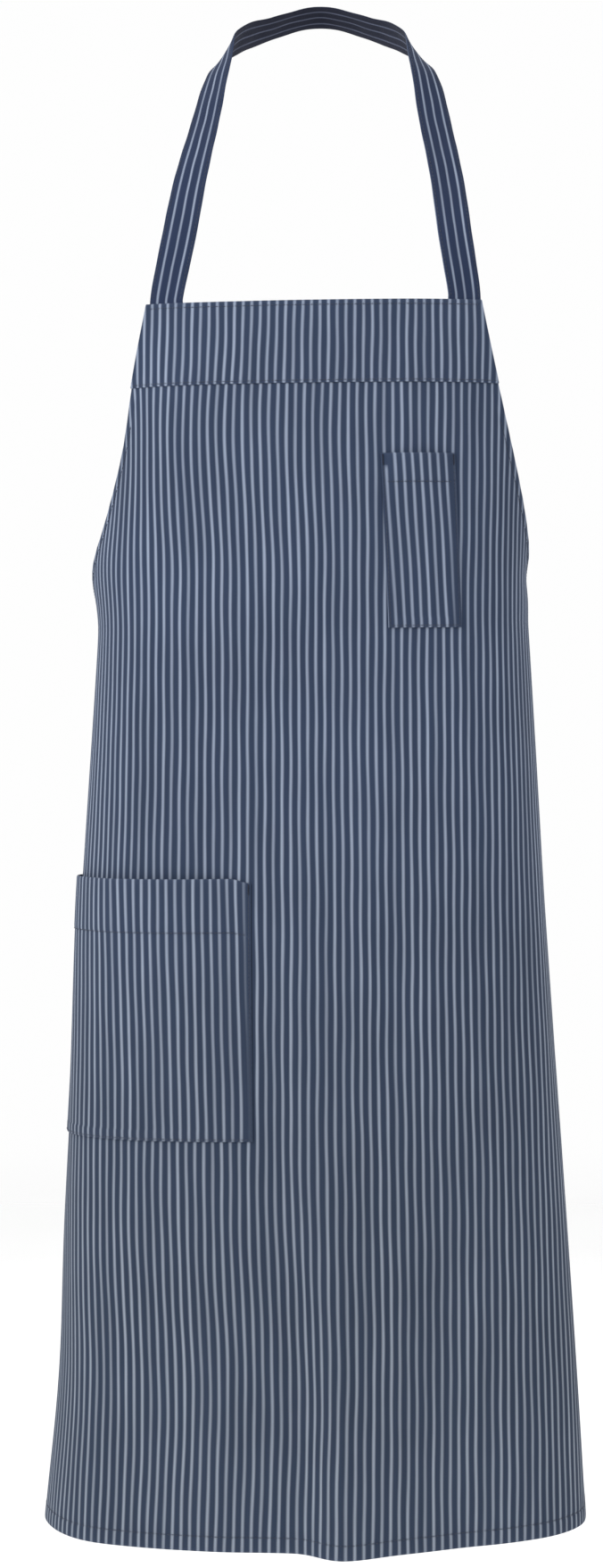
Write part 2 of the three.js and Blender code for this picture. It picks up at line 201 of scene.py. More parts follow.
def walk(start, end, below, draped=True):
    """How far the section goes sideways and back between two places across."""
    step = (end - start) / SECTION_STEPS
    places = start[..., None] + (np.arange(SECTION_STEPS) + 0.5) * step[..., None]
    angle = angle_at(places, below[..., None], draped)
    return (np.cos(angle) * step[..., None]).sum(-1), (np.sin(angle) * step[..., None]).sum(-1)


HELD = 0.14  # how far from the centre line the cloth keeps its undraped place


def held_shift(below, edge):
    """How far one side of the draped section moves to keep its undraped place."""
    zero = np.zeros_like(below)
    x1, y1 = walk(zero, zero + edge, below)
    x0, y0 = walk(zero, zero + edge, below, draped=False)
    flare = SKIRT_FLARE * smooth((below - 0.45) / 0.5) if edge > 0 else 0
    tuck = SKIRT_TUCK * bell(below, 0.87, 0.10) if edge < 0 else 0
    return x0 - x1 + flare + tuck, y0 - y1 + FOLD_SETBACK * fold_strength(below)


def hang(across, below):
    """How much lower the cloth hangs on its right side than straight, in metres."""
    lower = 0.3 * MM - 2.2 * MM * np.sin(np.pi / 2 * np.clip(across / 0.2, -1, 1))
    return lower * (1 - 0.6 * smooth((below - 0.3) / 0.4))


def on_cloth(across, below, out=0.0):
    """Points of the worn cloth: across and below along the cloth, out from its outer face."""
    across, below, out = np.broadcast_arrays(*(np.asarray(v, float) for v in (across, below, out)))
    x, y = walk(np.zeros_like(across), across, below)
    margin = 20 * MM
    levels = np.linspace(-margin, PANEL_LENGTH + margin, DRAPE_LEVELS)
    left_side = smooth((across + HELD) / (2 * HELD))
    for edge, share in ((-HELD, 1 - left_side), (HELD, left_side)):
        shift_x, shift_y = held_shift(levels, edge)
        x = x + np.interp(below, levels, shift_x) * share
        y = y + np.interp(below, levels, shift_y) * share
    y = y + worn(below)[0] + FRONT
    angle = angle_at(across, below)
    z = BIB_TOP - below - hang(across, below)
    return np.stack([x + np.sin(angle) * out, y - np.cos(angle) * out, z], -1)


def waver(across, below):
    """How far the woven stripes wander sideways from straight, in metres."""
    return (0.30 * np.sin(below * 21 + across * 17) + 0.20 * np.sin(below * 47 + across * 61 + 1.3)
            + 0.9 * np.sin(below * 7.5 - across * 14 + 0.6) + 0.14 * np.sin(below * 90 - across * 150)) * MM


# The armhole edge from the bib corner (0) to the tie corner (1), as (across, below).
ARM_POINTS = np.array([
    [BIB_HALF_WIDTH, 0],
    [lerp(BIB_HALF_WIDTH, PANEL_HALF_WIDTH, 0.15), 0.46 * ARMHOLE_DEPTH],
    [lerp(BIB_HALF_WIDTH, PANEL_HALF_WIDTH, 0.37), 0.82 * ARMHOLE_DEPTH],
    [PANEL_HALF_WIDTH, ARMHOLE_DEPTH],
])


def armhole(part):
    """Places (across, below) along the armhole edge."""
    t = np.asarray(part, float)[..., None]
    a, b, c, d = ARM_POINTS
    return a * (1 - t) ** 3 + 3 * b * t * (1 - t) ** 2 + 3 * c * t * t * (1 - t) + d * t**3


def armhole_inward(part):
    """The direction from the armhole edge into the panel."""
    t = np.asarray(part, float)[..., None]
    a, b, c, d = ARM_POINTS
    along = (b - a) * (1 - t) ** 2 + 2 * (c - b) * t * (1 - t) + (d - c) * t * t
    along = unit(along)
    return np.stack([-along[..., 1], along[..., 0]], -1)


ARM_LINE = armhole(np.linspace(0, 1, 400))


def edge_at(below):
    """Half the panel's width at a depth below the bib's top edge."""
    return np.interp(below, ARM_LINE[:, 1], ARM_LINE[:, 0])


def bottom_at(across):
    """Depth of the hem's lower edge below the bib's top edge."""
    dip = HEM_DIP * bell(across, 20 * MM, 26 * MM)
    rise = np.where(across > 0, HEM_RISE + HEM_LIFT, HEM_RISE)
    return PANEL_LENGTH + HEM_DROP - rise * (across / PANEL_HALF_WIDTH) ** 2 + dip


def to_armhole(across, below):
    """Distance along the cloth from the nearer armhole edge."""
    shape = np.shape(across)
    here = np.stack([np.abs(across).ravel(), np.asarray(below).ravel()], -1)
    line = ARM_LINE[::4]
    return np.sqrt(((here[:, None] - line[None]) ** 2).sum(-1)).min(-1).reshape(shape)


# ---- Meshes ----
def add_mesh(name, verts, faces, material, uv=None):
    """A smooth-shaded mesh object; uv is one place for each vertex."""
    data = bpy.data.meshes.new(name)
    data.from_pydata(np.asarray(verts).tolist(), [], faces)
    data.materials.append(material)
    data.polygons.foreach_set("use_smooth", [True] * len(data.polygons))
    if uv is not None:
        layer = data.uv_layers.new(name="cloth")
        loops = np.empty(len(data.loops), np.int32)
        data.loops.foreach_get("vertex_index", loops)
        layer.data.foreach_set("uv", np.asarray(uv, np.float32)[loops].ravel())
    data.update()
    piece = bpy.data.objects.new(name, data)
    bpy.context.scene.collection.objects.link(piece)
    return piece


def point_values(data, name, values):
    """Stores a value for each point of both faces of a thin sheet, for its material."""
    layer = data.attributes.new(name, "FLOAT", "POINT")
    layer.data.foreach_set("value", np.tile(np.ravel(values), 2).astype(np.float32))


def thin_solid(name, outer, inner, uv, material, wear, back=None):
    """A closed sheet between two grids of points.

    uv and wear belong to the grid's points, and back is a separate material for the inner face, such as the
    neck strap's painted shade.
    """
    rows, columns = outer.shape[:2]
    count = rows * columns
    grid = np.arange(count).reshape(rows, columns)
    corners = (grid[:-1, :-1], grid[:-1, 1:], grid[1:, 1:], grid[1:, :-1])
    front = np.stack([corner.ravel() for corner in corners], -1)
    reverse = front[:, [0, 3, 2, 1]] + count
    border = np.concatenate([grid[0, :], grid[1:, -1], grid[-1, -2::-1], grid[-2:0:-1, 0]])
    after = np.roll(border, -1)
    rim = np.stack([after, border, border + count, after + count], -1)
    faces = np.concatenate([front, reverse, rim])
    verts = np.concatenate([outer.reshape(-1, 3), inner.reshape(-1, 3)])
    corner = verts[front]
    normal = np.cross(corner[:, 1] - corner[:, 0], corner[:, 3] - corner[:, 0])
    if (normal * (verts[:count] - verts[count:])[front[:, 0]]).sum() < 0:
        faces = faces[:, ::-1]
    piece = add_mesh(name, verts, faces.tolist(), material, np.concatenate([uv.reshape(-1, 2)] * 2))
    data = piece.data
    point_values(data, "wear", wear)
    if back is not None:
        data.materials.append(back)
        index = np.zeros(len(faces), np.int32)
        index[len(front):2 * len(front)] = 1
        data.polygons.foreach_set("material_index", index)
    rims = set(zip(np.minimum(border, after).tolist(), np.maximum(border, after).tolist()))
    sharp = data.attributes.new("sharp_edge", "BOOLEAN", "EDGE")
    keys = np.empty(2 * len(data.edges), np.int32)
    data.edges.foreach_get("vertices", keys)
    keys = np.sort(keys.reshape(-1, 2) % count, axis=1)
    sharp.data.foreach_set("value", [tuple(key) in rims for key in keys.tolist()])
    return piece


def finish_piece(piece, body, slot, *nodes):
    """Fastens a piece to its body and hides the CAD nodes that it stands for; slot is not used."""
    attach(piece, body)
    if nodes:
        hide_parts(*nodes)
    return piece


# ---- Materials ----
class Nodes:
    """Short calls for building one material's node tree."""

    def __init__(self, name):
        self.material = bpy.data.materials.new(name)
        self.material.use_nodes = True
        self.tree = self.material.node_tree
        self.shader = self.tree.nodes["Principled BSDF"]

    def add(self, kind, **settings):
        node = self.tree.nodes.new(kind)
        for key, value in settings.items():
            setattr(node, key, value)
        return node

    def put(self, socket, value):
        if isinstance(value, bpy.types.NodeSocket):
            self.tree.links.new(value, socket)
        else:
            socket.default_value = value

    def feed(self, inputs):
        """Sets named inputs of the shader, to values or to outputs of other nodes."""
        for name, value in inputs.items():
            self.put(self.shader.inputs[name], value)

    def math(self, operation, a, b=0.0, c=0.0):
        node = self.add("ShaderNodeMath", operation=operation)
        for socket, value in zip(node.inputs, (a, b, c)):
            self.put(socket, value)
        return node.outputs[0]

    def ramp(self, value, low, high, to_low=0.0, to_high=1.0):
        node = self.add("ShaderNodeMapRange", interpolation_type="SMOOTHSTEP")
        sockets = ("Value", "From Min", "From Max", "To Min", "To Max")
        for key, item in zip(sockets, (value, low, high, to_low, to_high)):
            self.put(node.inputs[key], item)
        return node.outputs[0]

    def times(self, a, b):
        return self.math("MULTIPLY", a, b)

    def parts(self, vector):
        """A vector's X, Y and Z."""
        node = self.add("ShaderNodeSeparateXYZ")
        self.put(node.inputs[0], vector)
        return tuple(node.outputs)

    def scaled(self, vector, across, along):
        """A place stretched differently across and along the cloth."""
        node = self.add("ShaderNodeMapping", vector_type="POINT")
        self.put(node.inputs["Vector"], vector)
        node.inputs["Scale"].default_value = (across, along, 1.0)
        return node.outputs[0]

    def attribute(self, name):
        return self.add("ShaderNodeAttribute", attribute_name=name).outputs["Fac"]

    def mix(self, factor, a, b, blend="MIX"):
        node = self.add("ShaderNodeMix", data_type="RGBA", blend_type=blend)
        self.put(node.inputs[0], factor)
        self.put(node.inputs[6], a)
        self.put(node.inputs[7], b)
        return node.outputs[2]

    def noise(self, vector, scale, detail=2.0, roughness=0.5):
        node = self.add("ShaderNodeTexNoise")
        self.put(node.inputs["Vector"], vector)
        node.inputs["Scale"].default_value = scale
        node.inputs["Detail"].default_value = detail
        node.inputs["Roughness"].default_value = roughness
        return node.outputs["Fac"]

    def bump(self, height, distance, strength, normal=None):
        node = self.add("ShaderNodeBump")
        node.inputs["Distance"].default_value = distance
        node.inputs["Strength"].default_value = strength
        self.put(node.inputs["Height"], height)
        if normal is not None:
            self.put(node.inputs["Normal"], normal)
        return node.outputs[0]


YARN = 0.62 * MM  # spacing of the woven yarns


def brighter(color, factor, extra=0.0):
    return (*[min(1.0, factor * c + extra) for c in color], 1)


def stripes(n, uv, share, pitch, offset, soft):
    """How far each place lies in a pale stripe, from 0 to 1, with the irregular yarns of real cloth."""
    # Slubs: slow thickness changes along single yarns, so stripe edges are never ruled.
    slub = n.noise(n.scaled(uv, 900.0, 22.0), 1.0, 3.0, 0.6)
    wander = n.times(n.math("SUBTRACT", slub, 0.5), 0.10)
    phase = n.math("ADD", n.math("MULTIPLY_ADD", n.parts(uv)[0], 1 / pitch, offset), wander)
    distance = n.math("ABSOLUTE", n.math("SUBTRACT", n.math("FRACT", phase), 0.5))
    stripe = n.ramp(distance, 0.5 * share + soft, 0.5 * share - soft)
    # No two stripes are equally pale: each follows its own yarns down the cloth.
    single = n.noise(n.scaled(uv, 0.8 / pitch, 3.0), 1.0, 2.0, 0.6)
    stripe = n.times(stripe, n.ramp(single, 0.3, 0.7, 0.74, 1.12))
    return n.times(stripe, n.math("SUBTRACT", 1.0, n.attribute("plain")))


def twill(n, uv):
    """A warp-faced twill: each warp yarn passes over two weft yarns and under the third.

    Gives where the warp lies on top, and the height of the yarns.
    """
    across, down = (n.times(part, 1 / YARN) for part in n.parts(uv)[:2])
    step = n.math("ADD", n.math("FLOOR", across), n.math("FLOOR", down))
    warp_on_top = n.math("GREATER_THAN", n.math("FRACT", n.math("MULTIPLY_ADD", step, 1 / 3, 0.05)), 0.2)
    warp, weft = (n.math("ABSOLUTE", n.math("SINE", n.times(yarn, math.pi))) for yarn in (across, down))
    under = n.times(n.math("SUBTRACT", 1.0, warp_on_top), n.times(weft, 0.7))
    return warp_on_top, n.math("ADD", n.times(warp_on_top, warp), under)


def striped_cloth(name, navy, pale, share=0.31, pitch=STRIPE_PITCH, offset=0.0, soft=0.13):
    """Navy twill with pale stripes down its length, from the cloth UVs."""
    n = Nodes(name)
    uv = n.add("ShaderNodeUVMap", uv_map="cloth").outputs[0]
    object_at = n.add("ShaderNodeTexCoord").outputs["Object"]
    stripe = stripes(n, uv, share, pitch, offset, soft)
    warp_on_top, weave = twill(n, uv)
    fleck = n.noise(uv, 2600.0, 2.0, 0.7)
    patch = n.noise(object_at, 7.0, 3.0, 0.55)
    streaks = n.noise(n.scaled(uv, 260.0, 4.0), 1.0, 3.0, 0.5)

    # Only the warp is striped: the navy weft shows through between its yarns.
    seen = n.times(stripe, n.ramp(fleck, 0.25, 0.75, 0.86, 1.05))
    warp_color = n.mix(seen, (*navy, 1), brighter(pale, 1.22))
    lint = n.times(n.ramp(fleck, 0.55, 0.85), 0.10)
    color = n.mix(n.math("MULTIPLY_ADD", warp_on_top, 0.52, 0.42), brighter(navy, 1.15), warp_color)
    color = n.mix(lint, color, (*pale, 1))
    # Painted shade: the colour darkens in the hollows between the yarns and lifts on their crowns,
    # following the weave's height.
    color = n.mix(1.0, color, n.ramp(weave, 0.0, 1.0, 0.80, 1.11), "MULTIPLY")
    shade = n.math("ADD", n.ramp(patch, 0.3, 0.7, 0.93, 1.06), n.ramp(streaks, 0.3, 0.7, -0.05, 0.05))
    color = n.mix(1.0, color, shade, "MULTIPLY")
    # Painted shade: the skirt is tinted a little browner and darker than the chest, standing in for the
    # light falling off lower down. The edges are rubbed paler.
    painted_low_shade = n.ramp(n.parts(object_at)[2], -0.50, -1.15)
    color = n.mix(painted_low_shade, color, n.mix(1.0, color, (0.97, 0.94, 0.86, 1), "MULTIPLY"))
    rubbed = n.times(n.attribute("wear"), n.ramp(n.noise(uv, 420.0, 3.0, 0.65), 0.35, 0.7, 0.3, 1.0))
    color = n.mix(n.times(rubbed, 0.15), color, brighter(navy, 2.2, 0.05))

    normal = n.bump(n.noise(object_at, 46.0, 4.0, 0.6), 0.6 * MM, 0.35)
    normal = n.bump(n.math("ADD", weave, n.times(fleck, 0.8)), 0.12 * MM, 0.55, normal)
    n.feed({
        "Base Color": color,
        "Roughness": n.ramp(n.math("ADD", weave, patch), -0.5, 1.5, 0.80, 0.94),
        "Sheen Weight": 0.05,
        "Sheen Roughness": 0.5,
        "Sheen Tint": (0.70, 0.77, 0.92, 1),
        "Specular IOR Level": 0.25,
        "Normal": normal,
    })
    return n.material


def thread_material():
    """Twisted navy sewing thread."""
    n = Nodes("sewing_thread")
    object_at = n.add("ShaderNodeTexCoord").outputs["Object"]
    twist = n.add("ShaderNodeTexWave", wave_type="BANDS", bands_direction="DIAGONAL")
    n.put(twist.inputs["Vector"], object_at)
    twist.inputs["Scale"].default_value = 900.0
    twist.inputs["Distortion"].default_value = 1.5
    ply = twist.outputs["Fac"]
    n.feed({
        "Base Color": n.mix(ply, (0.010, 0.015, 0.033, 1), (0.026, 0.037, 0.070, 1)),
        "Roughness": n.ramp(ply, 0.0, 1.0, 0.5, 0.68),
        "Sheen Weight": 0.06,
        "Normal": n.bump(ply, 0.1 * MM, 0.5),
    })
    return n.material


NAVY = (0.021, 0.034, 0.068)
PALE = (0.250, 0.292, 0.380)
PANEL_CLOTH = striped_cloth("panel_cloth", NAVY, PALE, offset=0.25)
BAND_CLOTH = striped_cloth("band_cloth", NAVY, PALE, offset=0.62)
BIB_POCKET_CLOTH = striped_cloth("bib_pocket_cloth", NAVY, PALE, offset=0.05)
HIP_POCKET_CLOTH = striped_cloth("hip_pocket_cloth", NAVY, PALE, offset=0.45)
HEM_CLOTH = striped_cloth("hem_cloth", NAVY, PALE, offset=0.75)
STRAP_NAVY = (0.014, 0.024, 0.058)
STRAP_PITCH = 7.5 * MM
STRAP_CLOTH = striped_cloth("strap_cloth", STRAP_NAVY, PALE, 0.22, STRAP_PITCH, 0.5, 0.08)
# Painted shade: a much darker copy of the strap cloth for the strap's inner face, standing in for the shade
# on the back of the neck loop.
PAINTED_SHADE_NAVY = (0.006, 0.008, 0.021)
PAINTED_SHADE_PALE = (0.100, 0.115, 0.170)
STRAP_PAINTED_SHADE = striped_cloth("strap_painted_shade", PAINTED_SHADE_NAVY, PAINTED_SHADE_PALE, 0.16, STRAP_PITCH, 0.5, 0.07)
THREAD = thread_material()


# ---- Camera, light and stage ----
def camera_and_light():
    """A camera level with the waist, and soft light from the upper left over a white room."""
    scene = bpy.context.scene
    scene.view_settings.view_transform = "Standard"
    camera = bpy.data.objects.new("camera", bpy.data.cameras.new("camera"))
    camera.data.lens = 84.0
    camera.data.sensor_width = 36.0
    camera.data.clip_end = 50.0
    camera.location = (-0.010, FRONT - 2.9, BIB_TOP - 0.332)
    camera.rotation_euler = (math.radians(90 - 1.1), 0, 0)
    scene.collection.objects.link(camera)
    scene.camera = camera

    world = bpy.data.worlds.new("studio")
    world.use_nodes = True
    background = world.node_tree.nodes["Background"]
    background.inputs["Color"].default_value = (1.0, 1.0, 1.0, 1)
    background.inputs["Strength"].default_value = 0.99
    scene.world = world

    def area(name, place, size, power, target):
        light = bpy.data.objects.new(name, bpy.data.lights.new(name, "AREA"))
        light.data.shape = "RECTANGLE"
        light.data.size, light.data.size_y = size
        light.data.energy = power
        light.location = place
        direction = np.array(target) - np.array(place)
        yaw = math.atan2(direction[1], direction[0]) - math.pi / 2
        tilt = math.atan2(direction[2], math.hypot(direction[0], direction[1]))
        light.rotation_euler = (math.pi / 2 + tilt, 0, yaw)
        scene.collection.objects.link(light)

    middle = (0, FRONT, -0.7)
    area("key", (-2.2, -2.3, 1.3), (1.6, 1.8), 68, middle)
    area("fill", (2.4, -2.4, 0.4), (1.8, 2.0), 4, middle)
    area("rear", (0.6, 2.6, 1.0), (2.4, 1.6), 30, middle)


def floor():
    """A round pale floor whose far edge fades out, so that the studio has no visible end."""
    level, radius, sides = CAD_BOX[0][2] - 0.30, 6.0, 96
    steps = 24
    rings = [((k + 1) / steps) ** 1.5 * radius for k in range(steps)]
    verts = [(0, 0, level)]
    turns = [math.tau * k / sides for k in range(sides)]
    verts += [(r * math.cos(turn), r * math.sin(turn), level) for r in rings for turn in turns]
    faces = [(0, 1 + k, 1 + (k + 1) % sides) for k in range(sides)]
    for ring in range(len(rings) - 1):
        for k in range(sides):
            a, b = 1 + ring * sides + k, 1 + ring * sides + (k + 1) % sides
            faces.append((a, a + sides, b + sides, b))
    n = Nodes("studio_floor")
    place = n.add("ShaderNodeTexCoord").outputs["Object"]
    patches = n.ramp(n.noise(place, 1.5, 3.0), 0.3, 0.7)
    away = n.add("ShaderNodeVectorMath", operation="LENGTH")
    n.put(away.inputs[0], place)
    n.feed({
        "Base Color": n.mix(patches, (0.84, 0.84, 0.84, 1), (0.88, 0.88, 0.88, 1)),
        "Roughness": 0.9,
        "Normal": n.bump(n.noise(place, 240.0, 3.0), 0.3 * MM, 0.2),
        "Alpha": n.ramp(away.outputs["Value"], 2.2, 5.6, 1.0, 0.0),
    })
    add_mesh("studio_floor", verts, faces, n.material)


# ---- Panel ----
ARM_COLUMNS, TOP_COLUMNS = 44, 60
EDGE_STEPS = np.array([0, 1.2, 3.0, 4.8, 5.6, 6.4, 8.0, 10.5, 14.0]) * MM
HEM_STEPS = np.array([0, 1.2, 4.0, 8.0, 10.6, 11.6, 12.4, 13.4, 16.0, 21.0, 28.0]) * MM
SIDE_STEPS = np.array([0, 1.2, 4.0, 8.0, 9.2, 10.0, 10.8, 12.4, 16.0]) * MM
MIDDLE_ROWS = 200


def groove(distance, line, width=1.1 * MM, depth=0.38 * MM, puff=0.22 * MM):
    """The dent that a row of stitches pulls into a folded edge, which is puffed beside it."""
    fold = puff * smooth(distance / (1.5 * MM)) * smooth((line - distance) / (2 * MM) + 0.5)
    return fold - depth * bell(distance, line, width)


def panel_relief(across, below):
    """Small relief of the panel's outer face: stitched hems along every edge."""
    bottom = groove(bottom_at(across) - below, BOTTOM_HEM - STITCH_INSET)
    side = groove(PANEL_HALF_WIDTH - np.abs(across), SIDE_HEM - STITCH_INSET)
    side = np.where(below > ARMHOLE_DEPTH, side, 0)
    arm = groove(to_armhole(across, below), ARMHOLE_HEM - STITCH_INSET)
    arm = np.where(below < ARMHOLE_DEPTH - 4 * MM, arm, 0)
    return bottom + side + arm


def pucker(distance, along, line):
    """Tiny gathers beside a row of stitches."""
    near = bell(distance, line, 7 * MM)
    return 0.16 * MM * near * (np.sin(along * 520) + 0.7 * np.sin(along * 331 + 1.7))


def panel_grid():
    """The panel's cloth as rows from the bib and armholes down to the hem."""
    side = SIDE_STEPS / PANEL_HALF_WIDTH
    inner = np.linspace(side[-1], 1, ARM_COLUMNS + TOP_COLUMNS // 2 - len(SIDE_STEPS) + 2)[1:]
    half = np.concatenate([side, inner])
    from_left = np.concatenate([half - 1, (1 - half[:-1])[::-1]])
    bottom_across = from_left * PANEL_HALF_WIDTH
    # The same columns meet the top outline: armhole up to the bib corner, then across the bib.
    arm_share = ARM_COLUMNS / (ARM_COLUMNS + TOP_COLUMNS / 2)
    place = 1 - np.abs(from_left)
    on_arm = place < arm_share
    arm_part = np.clip(1 - place / arm_share, 0, 1)
    top = armhole(arm_part)
    flat = BIB_HALF_WIDTH * (1 - (place - arm_share) / (1 - arm_share))
    top_across = np.where(on_arm, top[:, 0], flat)
    top_below = np.where(on_arm, top[:, 1], 0)
    inward = armhole_inward(arm_part)
    inward = np.where(on_arm[:, None], inward, (0.0, 1.0))
    # Turn the inward direction gradually at the bib corner and at the tie corner.
    corner = np.array([-0.7, 0.7])
    gap = np.where(on_arm, np.hypot(top_across - BIB_HALF_WIDTH, top_below), BIB_HALF_WIDTH - top_across)
    share = smooth(gap / (26 * MM))[:, None]
    inward = corner * (1 - share) + inward * share
    low = smooth((place * PANEL_HALF_WIDTH) / (30 * MM))[:, None]
    inward = np.array([0.0, 1.0]) * (1 - low) + inward * low
    inward = unit(inward)
    sign = np.sign(from_left) + (from_left == 0)
    top_across, inward = top_across * sign, inward * np.stack([sign, np.ones_like(sign)], -1)

    rows = [(top_across + inward[:, 0] * d, top_below + inward[:, 1] * d) for d in EDGE_STEPS]
    start = np.array(rows.pop())
    floor = bottom_at(bottom_across)
    end = np.array([bottom_across, floor - HEM_STEPS[-1]])
    for t in np.linspace(0, 1, MIDDLE_ROWS):
        rows.append(tuple(start + (end - start) * t))
    rows += [(bottom_across, floor - d) for d in HEM_STEPS[-2::-1]]
    return np.array([r[0] for r in rows]), np.array([r[1] for r in rows])


def edge_wear(distance):
    """How rubbed the cloth is, from 1 at an edge to nearly 0 a few millimetres in."""
    return np.exp(-distance / (2.2 * MM))


def apron_panel():
    """The main cloth, with its hems raised and its stitch lines sunk."""
    across, below = panel_grid()
    relief = panel_relief(across, below)
    hem = bottom_at(across) - below
    relief = relief + pucker(hem, across, BOTTOM_HEM)
    outer = on_cloth(across, below, relief)
    inner = on_cloth(across, below, relief * 0.4 - CLOTH)
    edge = np.minimum(np.minimum(hem, PANEL_HALF_WIDTH - np.abs(across)), to_armhole(across, below))
    uv = np.stack([across + waver(across, below), below], -1)
    panel = thin_solid("apron_panel_cloth", outer, inner, uv, PANEL_CLOTH, edge_wear(edge))
    return finish_piece(panel, "apron", "striped_cloth", "apron_panel")


# ---- Band across the bib ----
BAND_OUT = 1.3 * MM


def bib_band():
    """The facing across the top of the bib: a second layer that is turned under along both edges."""
    depth = BAND_DEPTH / MM
    lower = depth - np.array([3.5, 2.5, 1.6, 0.6, 0])
    down = np.concatenate([[0, 0.5, 1.4], np.linspace(2.6, depth - 6, 30), lower]) * MM
    over = np.linspace(-1, 1, 141)
    below = np.repeat(down[:, None], len(over), 1)
    across = over[None] * edge_at(down)[:, None]
    top_dent = groove(below, 4 * MM, 1.0 * MM, 0.22 * MM, 0.16 * MM)
    low_dent = groove(BAND_DEPTH - below, STITCH_INSET, 1.0 * MM, 0.34 * MM, 0.26 * MM)
    relief = BAND_OUT + top_dent + low_dent + pucker(BAND_DEPTH - below, across, STITCH_INSET)
    round_off = 0.5 * MM * (np.exp(-below / (0.5 * MM)) + np.exp(-(BAND_DEPTH - below) / (0.4 * MM)))
    outer = on_cloth(across, below, relief - round_off)
    inner = on_cloth(across, below, 0.45 * MM)
    edge = np.minimum(below, BAND_DEPTH - below)
    uv = np.stack([across + waver(across + 0.4, below * 1.3), below], -1)
    band = thin_solid("bib_band_cloth", outer, inner, uv, BAND_CLOTH, edge_wear(edge))
    finish_piece(band, "apron", "striped_cloth", "bib_band")


# ---- Strips that follow the cloth, such as hems ----
def hem_fold(name, path, width, node):
    """The turned-in layer of a hem behind the panel, along a path of (across, below) places."""
    path = np.asarray(path)
    along = unit(np.gradient(path, axis=0))
    sideways = np.stack([-along[:, 1], along[:, 0]], -1)
    offsets = np.linspace(-0.5, 0.5, 5) * width
    places = path[:, None] + sideways[:, None] * offsets[None, :, None]
    across, below = places[..., 0], places[..., 1]
    crown = HEM_OUT + 0.15 * MM * np.cos(np.pi * offsets / width)[None]
    outer = on_cloth(across, below, crown)
    inner = on_cloth(across, below, HEM_OUT - CLOTH)
    wear = np.repeat(edge_wear(width / 2 - np.abs(offsets))[None], len(path), 0)
    hem = thin_solid(name, outer, inner, places, HEM_CLOTH, wear)
    return finish_piece(hem, "apron", "striped_cloth", node)


def arm_path(inset, first, last, steps):
    """Places along the armhole, at a distance in from its edge."""
    part = np.linspace(first, last, steps)
    return armhole(part) + armhole_inward(part) * inset


def side_path(inset, steps):
    top = ARMHOLE_DEPTH + STRAP_WIDTH + 2 * MM
    bottom = bottom_at(PANEL_HALF_WIDTH) - BOTTOM_HEM - 1 * MM
    return np.stack([np.full(steps, PANEL_HALF_WIDTH - inset), np.linspace(top, bottom, steps)], -1)


SIDES = (("left", np.array([1.0, 1.0])), ("right", np.array([-1.0, 1.0])))
HEM_OUT = -1.25 * MM


def hems():
    across = np.linspace(-1, 1, 150) * (PANEL_HALF_WIDTH - 0.5 * MM)
    bottom = np.stack([across, bottom_at(across) - BOTTOM_HEM / 2], -1)
    folds = [hem_fold("bottom_hem_fold", bottom, BOTTOM_HEM, "bottom_hem")]
    for side, turn in SIDES:
        edge = side_path(SIDE_HEM / 2, 120) * turn
        folds.append(hem_fold(f"{side}_side_hem_fold", edge, SIDE_HEM, f"{side}_side_hem"))
        arm = arm_path(ARMHOLE_HEM / 2, 0.13, 0.88, 70) * turn
        folds.append(hem_fold(f"{side}_armhole_hem_fold", arm, ARMHOLE_HEM, f"{side}_armhole_hem"))
    return folds


# ---- Stitches ----
STITCH_PITCH = 3.2 * MM
STITCH_LENGTH = 2.6 * MM
STITCH_RADIUS = 0.30 * MM
# Each ring of a stitch: its place along the stitch, its width, and how far it lifts off the cloth.
STITCH_RINGS = ((-0.5, 0.25, 0.0), (-0.36, 0.85, 0.5), (0.0, 1.0, 1.0), (0.36, 0.85, 0.5),
                (0.5, 0.25, 0.0))
STITCH_SIDES = 6


def stitches(name, path, normals, pitch=STITCH_PITCH, length=STITCH_LENGTH, radius=STITCH_RADIUS):
    """Single thread stitches spaced evenly along a path of points on a surface."""
    path, normals = np.asarray(path, float), np.asarray(normals, float)
    run = travelled(path)
    count = max(1, int(run[-1] / pitch))
    centres = (np.arange(count) + 0.5) * run[-1] / count
    middle, up = resampled(centres, run, path), resampled(centres, run, normals)
    half = length / 2
    ahead = unit(resampled(centres + half, run, path) - resampled(centres - half, run, path))
    up = unit(up - ahead * (up * ahead).sum(1, keepdims=True))
    side = np.cross(ahead, up)
    verts, faces = [], []
    turns = np.arange(STITCH_SIDES) * math.tau / STITCH_SIDES
    size = STITCH_SIDES * len(STITCH_RINGS)
    for place, width, lift in STITCH_RINGS:
        centre = middle + ahead * (place * length) + up * (radius * (lift - 0.35))
        for turn in turns:
            verts.append(centre + (side * math.cos(turn) + up * math.sin(turn)) * (radius * width))
    verts = np.stack(verts, 1).reshape(-1, 3)
    one = []
    for ring in range(len(STITCH_RINGS) - 1):
        for k in range(STITCH_SIDES):
            a, b = ring * STITCH_SIDES + k, ring * STITCH_SIDES + (k + 1) % STITCH_SIDES
            one.append((a, b, b + STITCH_SIDES, a + STITCH_SIDES))
    ends = [tuple(range(STITCH_SIDES))[::-1], tuple(range(size - STITCH_SIDES, size))]
    for k in range(count):
        faces += [tuple(v + k * size for v in face) for face in one + ends]
    return add_mesh(name, verts, faces, THREAD)


def cloth_normal(across, below):
    """The direction out of the cloth's outer face."""
    angle = angle_at(np.asarray(across, float), np.asarray(below, float))
    return np.stack([np.sin(angle), -np.cos(angle), 0 * angle], -1)


def dense(path, step=2 * MM):
    """The same path with points at an even, short spacing."""
    path = np.asarray(path, float)
    run = travelled(path)
    return resampled(np.linspace(0, run[-1], max(2, int(run[-1] / step))), run, path)


def seam(name, path, out, node, inside=False):
    """A row of stitches along a path on the cloth, at a height off its outer face."""
    path = dense(path)
    points = on_cloth(*path.T, out)
    normals = cloth_normal(*path.T) * (-1 if inside else 1)
    return finish_piece(stitches(name, points, normals), "apron", "thread", node)


